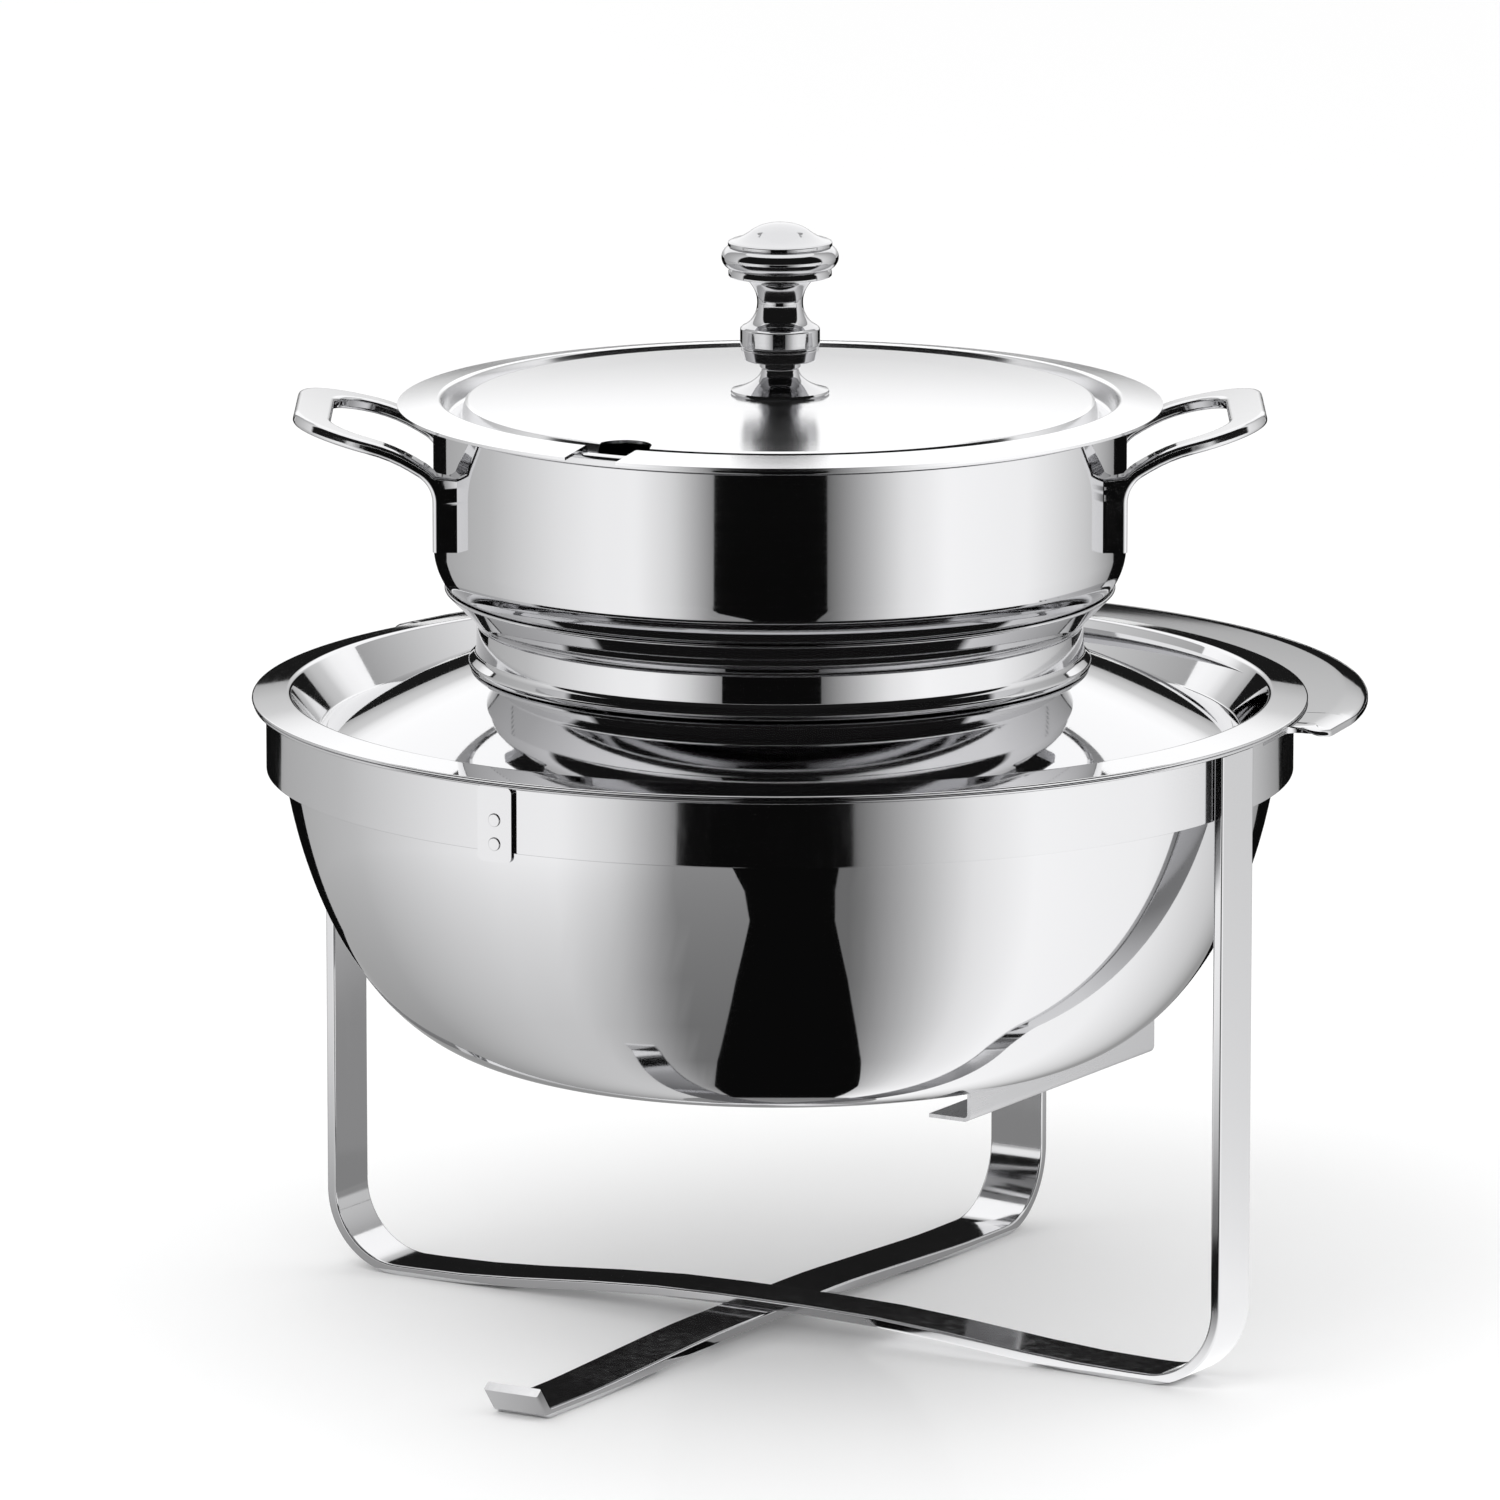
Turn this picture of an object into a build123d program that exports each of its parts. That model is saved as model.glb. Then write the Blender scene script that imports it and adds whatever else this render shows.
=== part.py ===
"""Round soup chafing dish: bar stand, water basin, ring cover, tureen and lid.

Frame: millimetres, +Z up, origin on the table under the middle of the whole
outline. The open side of the stand (the bar end with the upturned lip) faces
-Y. The round pieces are turned about the vertical axis of the dish and every
piece is moved by AXIS_Y as it is written out.
"""

import os

from build123d import *

# ---------------------------------------------------------------- driving sizes
SHEET = 1.2                 # spun stainless sheet
GAP = 0.3                   # clearance between pieces that lift apart
AXIS_Y = -19.2              # the dish axis stands this far from the origin

# stand
RING_RADIUS = 200.0         # outer radius of the support ring
RING_THICKNESS = 2.0
RING_HEIGHT = 25.0
RING_BOTTOM = 224.0
BAR_WIDTH = 24.0            # flat bar of the legs
BAR_THICKNESS = 4.0
BAR_BEND = 34.0             # outer bend radius between leg and floor bar
FLOOR_FLAT = 140.0          # the bars touch the table outside this distance
REAR_BAR_LIFT = 3.5         # underside of the rear bar at the crossing
REAR_BAR_X = -8.0           # the rear bar stands a little off centre
CROSS_GAP = 0.05            # hairline between the crossing bars
CROSS_FLAT = 50.0           # the bars run level where they cross
ARCH_BEND = 700.0           # gentle arch of the floor bars
ARCH_END_BEND = 560.0
LEG_TOP = 249.6
FOOT_END = 178.0            # where the front foot turns up
FOOT_LIP_REACH = 8.0
FOOT_LIP_RISE = 10.5
FOOT_BEND = 6.0
TAB_WIDTH = 15.0            # short rest tab at the open front
TAB_X = -4.0
TAB_BOTTOM = 220.5
TAB_CORNER = 2.5
RIVET_RADIUS = 2.6
RIVET_HEAD = 0.5
CROSS_RIVET_RADIUS = 3.0
CROSS_RIVET_HEAD = 5.5
CROSS_RIVET_ANGLE = 90

# water basin
BASIN_FLOOR = 113.0         # underside of the basin floor
BASIN_FLAT = 110.0          # radius of the flat floor
BASIN_WALL_REACH = 86.0     # half axes of the elliptical wall
BASIN_WALL_RISE = 149.0
RIM_BOTTOM = LEG_TOP + GAP
RIM_TOP = RIM_BOTTOM + SHEET
RIM_RADIUS = 204.5
APRON_RADIUS = 216.0        # wide landing at the back of the rim
APRON_OFFSET = 28.0
APRON_FRONT = 50.0
APRON_LIP = 4.0
APRON_CORNER = 12.0
LANDING_OVERLAP = 1.0
RAIL_X = 112.0              # outer face of a burner rail
RAIL_FRONT = -44.0
RAIL_BACK = 100.0
RAIL_BOTTOM = 102.5
RAIL_FLANGE = 18.5
RAIL_SHEET = 1.5
RAIL_BEND = 3.0

# ring cover and collar
COVER_RADIUS = 205.6
COVER_EDGE_TOP = RIM_TOP + GAP + SHEET
COVER_INNER = 190.8         # inner edge of the flange
COVER_INNER_TOP = COVER_EDGE_TOP + 2.1
TROUGH_RADIUS = 179.5
TROUGH_TOP = 238.6
DOME_RADIUS = 176.0
DOME_EDGE_TOP = 240.0
DOME_MID = (150.0, 252.2)
COVER_HOLE = 112.0
COVER_CROWN = 266.7         # top of the cover at its hole
COLLAR_RADIUS = 118.0
COLLAR_FOOT = 264.6
COLLAR_FOOT_RADIUS = 121.2
COLLAR_BEAD = 2.0
COLLAR_WALL_BOTTOM = 270.5
FUNNEL_BOTTOM = 282.1       # 45 degree seat that centres the tureen corner
FUNNEL_TOP = 294.6

# tureen
TUREEN_RADIUS = 134.5
TUREEN_SHEET = 1.5
TUREEN_CORNER = 25.0
TUREEN_FLOOR = 286.1
TUREEN_RIM_TOP = 366.9
TUREEN_RIM_HEIGHT = 5.0
TUREEN_RIM_RADIUS = 137.4
TUREEN_TURN = 31.0          # the handles stand this far round from the X axis
HANDLE_REACH = 188.5
HANDLE_HALF_WIDTH = 52.0
HANDLE_ARM = 10.5
HANDLE_WEB = 14.0
HANDLE_CORNER = 30.0
HANDLE_OPENING_CORNER = 21.0
HANDLE_THICKNESS = 5.0
HANDLE_PAD_BOTTOM = 317.0
HANDLE_PAD_TOP = 343.0
HANDLE_PAD_FACE = 133.5     # outer face of the pads, from the axis
HANDLE_BEND = (150.0, 353.0)
HANDLE_TIP = 363.5

# lid
LID_SHEET = 1.2
LID_RADIUS = 149.0
LID_EDGE_TOP = 366.9
LID_INNER = 131.5
LID_INNER_TOP = 369.4
LID_GROOVE_OUTER = 129.6
LID_GROOVE_INNER = 124.6
LID_GROOVE_TOP = 360.6
LID_DISC_RADIUS = 122.0
LID_DISC_TOP = 368.6
LID_CROWN = 370.6
NOTCH_WIDTH = 22.0
NOTCH_END = 112.0
NOTCH_TURN = 2.0

# knob, from the lid up
KNOB_BASE_BOTTOM = LID_CROWN - 0.2
KNOB_BASE_RADIUS = 19.2
KNOB_NECK_RADIUS = 7.2
KNOB_NECK_TOP = 380.6
KNOB_NECK_RING = 8.1
SPACER_BOTTOM = 383.6
SPACER_TOP = 388.4
SPACER_FOOT = 14.3
SPACER_RADIUS = 15.2
KNOB_BAND_BOTTOM = 389.2
KNOB_BAND_RADIUS = 15.45
KNOB_BAND_TOP = 396.0
KNOB_WAIST_RADIUS = 8.9
KNOB_WAIST = 406.5
KNOB_RING_BOTTOM = 416.6
KNOB_RING_RADIUS = 20.0
KNOB_BEAD = 424.0
KNOB_BEAD_RADIUS = 4.6
KNOB_BEAD_REACH = 22.7
KNOB_CAP_RADIUS = 20.2
KNOB_CAP_EDGE = 430.0
KNOB_TOP = 437.5
STUD_RADIUS = 2.5
STUD_TOP = 402.0
STUD_HEAD_RADIUS = 5.0
STUD_HEAD_HEIGHT = 3.0
WASHER_RADIUS = 8.0
WASHER_THICKNESS = 1.2


# ---------------------------------------------------------------------- helpers
def finish(piece, label):
    """Move a piece to the shared origin, name it and write it to its own file."""
    with BuildPart() as placed:
        with Locations((0, AXIS_Y, 0)):
            add(piece.part)
    placed.part.label = label
    export_step(placed.part, f"parts/{label}.step")
    print(f"{label}: {placed.part.volume:.0f} mm3")


def bent_bar(outer_points, inner_points, outer_radii, inner_radii, plane):
    """Flat bar bent on edge lines, extruded to the bar width on both sides of a plane."""
    with BuildPart() as bar:
        with BuildSketch(plane):
            with BuildLine():
                outer = FilletPolyline(*outer_points, radius=outer_radii)
                inner = FilletPolyline(*inner_points, radius=inner_radii)
                Line(outer @ 0, inner @ 0)
                Line(outer @ 1, inner @ 1)
            make_face()
        extrude(amount=BAR_WIDTH / 2, both=True)
    return bar


def ring_cutter(radius):
    """Everything inside the support ring's outer face, at ring height."""
    with BuildPart() as cutter:
        with BuildSketch(Plane.XY.offset(RING_BOTTOM - RING_HEIGHT)):
            Circle(radius)
        extrude(amount=3 * RING_HEIGHT)
    return cutter.part


def apron_outline(inset=0.0, mode=Mode.ADD):
    """Outline of the landing: a wide circle cut straight at the front, corners rounded."""
    with BuildSketch(mode=Mode.PRIVATE) as outline:
        with Locations((0, APRON_OFFSET)):
            Circle(APRON_RADIUS)
        with Locations((0, APRON_FRONT)):
            Rectangle(
                3 * APRON_RADIUS, 2 * APRON_RADIUS, align=(Align.CENTER, Align.MIN), mode=Mode.INTERSECT
            )
        fillet(outline.vertices(), APRON_CORNER)
        if inset:
            offset(amount=inset, mode=Mode.REPLACE)
    add(outline.sketch, mode=mode)


os.makedirs("parts", exist_ok=True)
bar_inner = RING_RADIUS
bar_outer = bar_inner + BAR_THICKNESS
inside_bend = BAR_BEND - BAR_THICKNESS
cross_bar_lift = REAR_BAR_LIFT + BAR_THICKNESS + CROSS_GAP

# ------------------------------------------------------------------------ stand
with BuildPart() as support_ring:
    with BuildSketch(Plane.XY.offset(RING_BOTTOM)):
        Circle(RING_RADIUS)
        Circle(RING_RADIUS - RING_THICKNESS, mode=Mode.SUBTRACT)
    extrude(amount=RING_HEIGHT)

# one bar makes the left leg, the floor crossing and the right leg
cross_outer = [
    (-bar_outer, LEG_TOP),
    (-bar_outer, 0),
    (-FLOOR_FLAT, 0),
    (-CROSS_FLAT, cross_bar_lift),
    (CROSS_FLAT, cross_bar_lift),
    (FLOOR_FLAT, 0),
    (bar_outer, 0),
    (bar_outer, LEG_TOP),
]
cross_inner = [
    (-bar_inner, LEG_TOP),
    (-bar_inner, BAR_THICKNESS),
    (-FLOOR_FLAT, BAR_THICKNESS),
    (-CROSS_FLAT, cross_bar_lift + BAR_THICKNESS),
    (CROSS_FLAT, cross_bar_lift + BAR_THICKNESS),
    (FLOOR_FLAT, BAR_THICKNESS),
    (bar_inner, BAR_THICKNESS),
    (bar_inner, LEG_TOP),
]
cross_bar = bent_bar(
    cross_outer,
    cross_inner,
    [BAR_BEND, ARCH_END_BEND, ARCH_BEND, ARCH_BEND, ARCH_END_BEND, BAR_BEND],
    [inside_bend, ARCH_END_BEND, ARCH_BEND, ARCH_BEND, ARCH_END_BEND, inside_bend],
    Plane.XZ,
)

# the other bar makes the rear leg, the floor bar and the front foot with its lip
lip_tip = (-FOOT_END - FOOT_LIP_REACH, FOOT_LIP_RISE)
rear_outer = [
    (bar_outer, LEG_TOP),
    (bar_outer, 0),
    (FLOOR_FLAT, 0),
    (CROSS_FLAT, REAR_BAR_LIFT),
    (-CROSS_FLAT, REAR_BAR_LIFT),
    (-FLOOR_FLAT, 0),
    (-FOOT_END, 0),
    lip_tip,
]
rear_inner = [
    (bar_inner, LEG_TOP),
    (bar_inner, BAR_THICKNESS),
    (FLOOR_FLAT, BAR_THICKNESS),
    (CROSS_FLAT, REAR_BAR_LIFT + BAR_THICKNESS),
    (-CROSS_FLAT, REAR_BAR_LIFT + BAR_THICKNESS),
    (-FLOOR_FLAT, BAR_THICKNESS),
    (-FOOT_END + 2.0, BAR_THICKNESS),
    (lip_tip[0] + 3.2, lip_tip[1] + 2.4),
]
rear_bar = bent_bar(
    rear_outer,
    rear_inner,
    [BAR_BEND, ARCH_END_BEND, ARCH_BEND, ARCH_BEND, ARCH_END_BEND, FOOT_BEND],
    [inside_bend, ARCH_END_BEND, ARCH_BEND, ARCH_BEND, ARCH_END_BEND, FOOT_BEND - BAR_THICKNESS],
    Plane.YZ.offset(REAR_BAR_X),
)

# a countersunk rivet, driven from below, holds the two bars at the crossing
with BuildPart() as cross_rivet:
    with BuildSketch(Plane.XZ):
        with BuildLine():
            head_z = REAR_BAR_LIFT + 0.3
            neck_z = head_z + CROSS_RIVET_HEAD - CROSS_RIVET_RADIUS
            top_z = cross_bar_lift + BAR_THICKNESS / 2
            Polyline(
                (0, head_z),
                (CROSS_RIVET_HEAD, head_z),
                (CROSS_RIVET_RADIUS, neck_z),
                (CROSS_RIVET_RADIUS, top_z),
                (0, top_z),
                close=True,
            )
        make_face()
    revolve(axis=Axis.Z)
with BuildPart() as placed_rivet:
    with Locations((REAR_BAR_X, 0, 0)):
        add(cross_rivet.part)

with BuildPart() as cross_leg:
    add(cross_bar.part)
    add(placed_rivet.part, mode=Mode.SUBTRACT)
finish(cross_leg, "cross_leg")

with BuildPart() as rear_leg:
    add(rear_bar.part)
    add(placed_rivet.part, mode=Mode.SUBTRACT)
finish(rear_leg, "rear_leg")
finish(placed_rivet, "cross_rivet")

# the short tab at the front carries the basin rim where there is no leg
with BuildPart() as front_tab:
    with BuildSketch(Plane.XZ.offset(RING_RADIUS - 0.2)):
        with Locations((TAB_X, (TAB_BOTTOM + LEG_TOP) / 2)):
            RectangleRounded(TAB_WIDTH, LEG_TOP - TAB_BOTTOM, TAB_CORNER)
    extrude(amount=RING_THICKNESS + 0.2)
    add(ring_cutter(RING_RADIUS), mode=Mode.SUBTRACT)

with BuildPart() as tab_rivets:
    rivet_heights = (RING_BOTTOM + 3.4, RING_BOTTOM + 12.6)
    with BuildSketch(Plane.XZ.offset(RING_RADIUS - RING_THICKNESS - RIVET_HEAD)):
        with Locations(*[(TAB_X, height) for height in rivet_heights]):
            Circle(RIVET_RADIUS)
    extrude(amount=2 * RING_THICKNESS + 2 * RIVET_HEAD)
    fillet(tab_rivets.faces().sort_by(Axis.Y)[:2].edges(), RIVET_HEAD * 0.8)

with BuildPart() as front_tab_drilled:
    add(front_tab.part)
    add(tab_rivets.part, mode=Mode.SUBTRACT)
finish(front_tab_drilled, "front_tab")
finish(tab_rivets, "tab_rivets")

with BuildPart() as ring_drilled:
    add(support_ring.part)
    add(tab_rivets.part, mode=Mode.SUBTRACT)
finish(ring_drilled, "support_ring")

# ------------------------------------------------------------------------ basin
wall_centre = (BASIN_FLAT, BASIN_FLOOR + BASIN_WALL_RISE)
with BuildPart() as water_basin:
    with BuildSketch(Plane.XZ) as basin_section:
        with BuildLine():
            outer = EllipticalCenterArc(
                wall_centre, BASIN_WALL_REACH, BASIN_WALL_RISE, start_angle=270, arc_size=85
            )
            Line((0, BASIN_FLOOR), outer @ 0)
            Polyline(
                outer @ 1,
                ((outer @ 1).X, RIM_BOTTOM),
                (RIM_RADIUS, RIM_BOTTOM),
                (RIM_RADIUS, RIM_TOP),
                (0, RIM_TOP),
                (0, BASIN_FLOOR),
            )
        make_face()
        with BuildLine():
            inner = EllipticalCenterArc(
                wall_centre,
                BASIN_WALL_REACH - SHEET,
                BASIN_WALL_RISE - SHEET,
                start_angle=270,
                arc_size=86,
            )
            Line((0, BASIN_FLOOR + SHEET), inner @ 0)
            Polyline(
                inner @ 1,
                ((inner @ 1).X, RIM_TOP + SHEET),
                (0, RIM_TOP + SHEET),
                (0, BASIN_FLOOR + SHEET),
            )
        make_face(mode=Mode.SUBTRACT)
    revolve(axis=Axis.Z)
    # landing behind the rim, sloping down to a hemmed edge
    with BuildSketch(Plane.XY.offset(RIM_BOTTOM)):
        apron_outline()
        Circle(RIM_RADIUS - LANDING_OVERLAP, mode=Mode.SUBTRACT)
    extrude(amount=SHEET)
    with BuildSketch(Plane.XY.offset(RIM_TOP - APRON_LIP)):
        apron_outline()
        apron_outline(-SHEET, Mode.SUBTRACT)
        Circle(RIM_RADIUS + GAP, mode=Mode.SUBTRACT)
    extrude(amount=APRON_LIP)
finish(water_basin, "water_basin")

with BuildPart() as basin_solid:
    with BuildSketch(Plane.XZ):
        with BuildLine():
            hull = EllipticalCenterArc(
                wall_centre, BASIN_WALL_REACH, BASIN_WALL_RISE, start_angle=270, arc_size=85
            )
            Line((0, BASIN_FLOOR), hull @ 0)
            Polyline(hull @ 1, (0, (hull @ 1).Y), (0, BASIN_FLOOR))
        make_face()
    revolve(axis=Axis.Z)

for side, rail_name in ((1, "burner_rail_right"), (-1, "burner_rail_left")):
    with BuildPart() as rail:
        with BuildSketch(Plane.XZ.offset(-RAIL_BACK)):
            with BuildLine():
                web_top = BASIN_FLOOR + 40.0
                rail_line = FilletPolyline(
                    (side * (RAIL_X - RAIL_FLANGE), RAIL_BOTTOM),
                    (side * RAIL_X, RAIL_BOTTOM),
                    (side * RAIL_X, web_top),
                    radius=RAIL_BEND,
                )
                inner_line = FilletPolyline(
                    (side * (RAIL_X - RAIL_FLANGE), RAIL_BOTTOM + RAIL_SHEET),
                    (side * (RAIL_X - RAIL_SHEET), RAIL_BOTTOM + RAIL_SHEET),
                    (side * (RAIL_X - RAIL_SHEET), web_top),
                    radius=RAIL_BEND - RAIL_SHEET,
                )
                Line(rail_line @ 0, inner_line @ 0)
                Line(rail_line @ 1, inner_line @ 1)
            make_face()
        extrude(amount=RAIL_BACK - RAIL_FRONT)
        add(basin_solid.part, mode=Mode.SUBTRACT)
    finish(rail, rail_name)

# ------------------------------------------------------------- cover and collar
with BuildPart() as ring_cover:
    with BuildSketch(Plane.XZ):
        with BuildLine():
            flange = FilletPolyline(
                (COVER_RADIUS, COVER_EDGE_TOP),
                (COVER_INNER, COVER_INNER_TOP),
                (TROUGH_RADIUS, TROUGH_TOP),
                (DOME_RADIUS + 0.6, TROUGH_TOP),
                (DOME_RADIUS, DOME_EDGE_TOP),
                radius=[2.0, 1.0, 0.6],
            )
            dome = ThreePointArc(flange @ 1, DOME_MID, (COVER_HOLE, COVER_CROWN))
            offset(amount=SHEET, side=Side.LEFT)
        make_face()
    revolve(axis=Axis.Z)
finish(ring_cover, "ring_cover")

with BuildPart() as collar:
    with BuildSketch(Plane.XZ):
        with BuildLine():
            FilletPolyline(
                (COLLAR_FOOT_RADIUS, COLLAR_FOOT),
                (COLLAR_FOOT_RADIUS, COLLAR_FOOT + COLLAR_BEAD),
                (COLLAR_RADIUS, COLLAR_WALL_BOTTOM),
                (COLLAR_RADIUS, FUNNEL_BOTTOM),
                (COLLAR_RADIUS + FUNNEL_TOP - FUNNEL_BOTTOM, FUNNEL_TOP),
                radius=[1.5, 2.5, 3.0],
            )
            offset(amount=SHEET, side=Side.LEFT)
        make_face()
    revolve(axis=Axis.Z)
finish(collar, "collar")

# ----------------------------------------------------------------------- tureen
with BuildPart() as tureen:
    with BuildSketch(Plane.XZ):
        with BuildLine():
            FilletPolyline(
                (0, TUREEN_FLOOR),
                (TUREEN_RADIUS, TUREEN_FLOOR),
                (TUREEN_RADIUS, TUREEN_RIM_TOP - 0.8),
                radius=TUREEN_CORNER,
            )
            offset(amount=TUREEN_SHEET, side=Side.LEFT)
        make_face()
        rim_inner = TUREEN_RADIUS - TUREEN_SHEET
        with Locations(((rim_inner + TUREEN_RIM_RADIUS) / 2, TUREEN_RIM_TOP - TUREEN_RIM_HEIGHT / 2)):
            RectangleRounded(TUREEN_RIM_RADIUS - rim_inner, TUREEN_RIM_HEIGHT, 1.4)
    revolve(axis=Axis.Z)
finish(tureen, "tureen")

for turn, handle_name in ((0, "handle_right"), (180, "handle_left")):
    with BuildPart() as handle:
        # seen from the side: a strip that leaves the wall and sweeps up and out
        with BuildSketch(Plane.XZ.offset(-HANDLE_HALF_WIDTH)):
            with BuildLine():
                strip = FilletPolyline(
                    (HANDLE_PAD_FACE, HANDLE_PAD_BOTTOM),
                    (HANDLE_PAD_FACE, HANDLE_PAD_TOP),
                    HANDLE_BEND,
                    (HANDLE_REACH + 2.0, HANDLE_TIP),
                    radius=[12.0, 60.0],
                )
                offset(amount=HANDLE_THICKNESS, side=Side.LEFT)
            make_face()
        extrude(amount=2 * HANDLE_HALF_WIDTH)
        # the pads close on the curved wall of the tureen
        with BuildSketch(Plane.XY.offset(HANDLE_PAD_BOTTOM)) as pads:
            with Locations((HANDLE_PAD_FACE - HANDLE_THICKNESS / 2, 0)):
                Rectangle(2 * HANDLE_THICKNESS, 2 * HANDLE_HALF_WIDTH, align=(Align.MAX, Align.CENTER))
        extrude(amount=HANDLE_PAD_TOP - HANDLE_PAD_BOTTOM)
        # seen from above: a loop with rounded corners and a finger opening
        with BuildSketch(Plane.XY.offset(HANDLE_PAD_BOTTOM - 1)) as loop:
            with BuildLine():
                FilletPolyline(
                    (TUREEN_RADIUS - 20, -HANDLE_HALF_WIDTH),
                    (HANDLE_REACH, -HANDLE_HALF_WIDTH),
                    (HANDLE_REACH, HANDLE_HALF_WIDTH),
                    (TUREEN_RADIUS - 20, HANDLE_HALF_WIDTH),
                    radius=HANDLE_CORNER,
                )
                Line(
                    (TUREEN_RADIUS - 20, HANDLE_HALF_WIDTH),
                    (TUREEN_RADIUS - 20, -HANDLE_HALF_WIDTH),
                )
            make_face()
            opening = HANDLE_HALF_WIDTH - HANDLE_ARM
            with BuildLine():
                FilletPolyline(
                    (TUREEN_RADIUS - 30, -opening),
                    (HANDLE_REACH - HANDLE_WEB, -opening),
                    (HANDLE_REACH - HANDLE_WEB, opening),
                    (TUREEN_RADIUS - 30, opening),
                    radius=HANDLE_OPENING_CORNER,
                )
                Line((TUREEN_RADIUS - 30, opening), (TUREEN_RADIUS - 30, -opening))
            make_face(mode=Mode.SUBTRACT)
        extrude(amount=HANDLE_TIP, mode=Mode.INTERSECT)
        with BuildSketch(Plane.XY.offset(HANDLE_PAD_BOTTOM - 2)):
            Circle(TUREEN_RADIUS)
        extrude(amount=HANDLE_TIP, mode=Mode.SUBTRACT)
    with BuildPart() as placed_handle:
        add(handle.part.rotate(Axis.Z, TUREEN_TURN + turn))
    finish(placed_handle, handle_name)

# -------------------------------------------------------------------------- lid
with BuildPart() as lid:
    with BuildSketch(Plane.XZ):
        with BuildLine():
            lid_flange = FilletPolyline(
                (LID_RADIUS, LID_EDGE_TOP),
                (LID_INNER, LID_INNER_TOP),
                (LID_GROOVE_OUTER, LID_GROOVE_TOP),
                (LID_GROOVE_INNER, LID_GROOVE_TOP),
                (LID_DISC_RADIUS, LID_DISC_TOP - 0.6),
                (LID_DISC_RADIUS - 1.0, LID_DISC_TOP),
                radius=[1.5, 1.8, 1.8, 0.4],
            )
            TangentArc((0, LID_CROWN), lid_flange @ 1, tangent=(1, 0))
            offset(amount=LID_SHEET, side=Side.LEFT)
        make_face()
    revolve(axis=Axis.Z)
    # ladle notch at the front
    with BuildSketch(Plane.XY.offset(LID_GROOVE_TOP - 10)):
        with PolarLocations(NOTCH_END + NOTCH_WIDTH / 2, 1, start_angle=NOTCH_TURN - 90):
            Circle(NOTCH_WIDTH / 2)
            Rectangle(LID_RADIUS, NOTCH_WIDTH, align=(Align.MIN, Align.CENTER))
    extrude(amount=30, mode=Mode.SUBTRACT)
    # hole for the knob stud
    with BuildSketch(Plane.XY.offset(LID_GROOVE_TOP - 10)):
        Circle(STUD_RADIUS)
    extrude(amount=30, mode=Mode.SUBTRACT)
finish(lid, "lid")

lid_under = LID_CROWN - LID_SHEET
with BuildPart() as knob_washer:
    with BuildSketch(Plane.XY.offset(lid_under - WASHER_THICKNESS)):
        Circle(WASHER_RADIUS)
        Circle(STUD_RADIUS, mode=Mode.SUBTRACT)
    extrude(amount=WASHER_THICKNESS - 0.1)
finish(knob_washer, "knob_washer")

with BuildPart() as knob_stud:
    head_top = lid_under - WASHER_THICKNESS
    with BuildSketch(Plane.XY.offset(head_top - STUD_HEAD_HEIGHT)):
        Circle(STUD_HEAD_RADIUS)
    extrude(amount=STUD_HEAD_HEIGHT)
    with BuildSketch(Plane.XY.offset(head_top)):
        Circle(STUD_RADIUS)
    extrude(amount=STUD_TOP - head_top)
    fillet(knob_stud.faces().sort_by(Axis.Z)[0].edges(), 1.0)
    with BuildSketch(Plane.XY.offset(head_top - STUD_HEAD_HEIGHT)):
        RegularPolygon(2.0, 6)
    extrude(amount=1.8, mode=Mode.SUBTRACT)

with BuildPart() as knob_base:
    with BuildSketch(Plane.XZ):
        with BuildLine():
            foot_top = KNOB_BASE_BOTTOM + 1.6
            Polyline(
                (0, KNOB_BASE_BOTTOM),
                (KNOB_BASE_RADIUS - 0.4, KNOB_BASE_BOTTOM),
                (KNOB_BASE_RADIUS, KNOB_BASE_BOTTOM + 0.6),
                (KNOB_BASE_RADIUS - 0.3, foot_top),
            )
            Spline(
                (KNOB_BASE_RADIUS - 0.3, foot_top),
                (11.2, KNOB_BASE_BOTTOM + 4.6),
                (KNOB_NECK_RADIUS, KNOB_NECK_TOP - 1.4),
                tangents=[(-0.9, 0.3), (0, 1)],
            )
            Polyline(
                (KNOB_NECK_RADIUS, KNOB_NECK_TOP - 1.4),
                (KNOB_NECK_RADIUS, KNOB_NECK_TOP),
                (KNOB_NECK_RING, KNOB_NECK_TOP + 0.5),
                (KNOB_NECK_RING, SPACER_BOTTOM - 0.5),
                (KNOB_NECK_RADIUS, SPACER_BOTTOM),
                (0, SPACER_BOTTOM),
                (0, KNOB_BASE_BOTTOM),
            )
        make_face()
    revolve(axis=Axis.Z)
    add(lid.part, mode=Mode.SUBTRACT)
    add(knob_stud.part, mode=Mode.SUBTRACT)
finish(knob_base, "knob_base")

with BuildPart() as knob_spacer:
    with BuildSketch(Plane.XZ):
        with BuildLine():
            Polyline(
                (STUD_RADIUS, SPACER_BOTTOM),
                (SPACER_FOOT - 0.6, SPACER_BOTTOM),
                (SPACER_FOOT, SPACER_BOTTOM + 0.6),
                (SPACER_RADIUS, SPACER_TOP),
                (STUD_RADIUS, SPACER_TOP),
                close=True,
            )
        make_face()
    revolve(axis=Axis.Z)
finish(knob_spacer, "knob_spacer")

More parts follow.
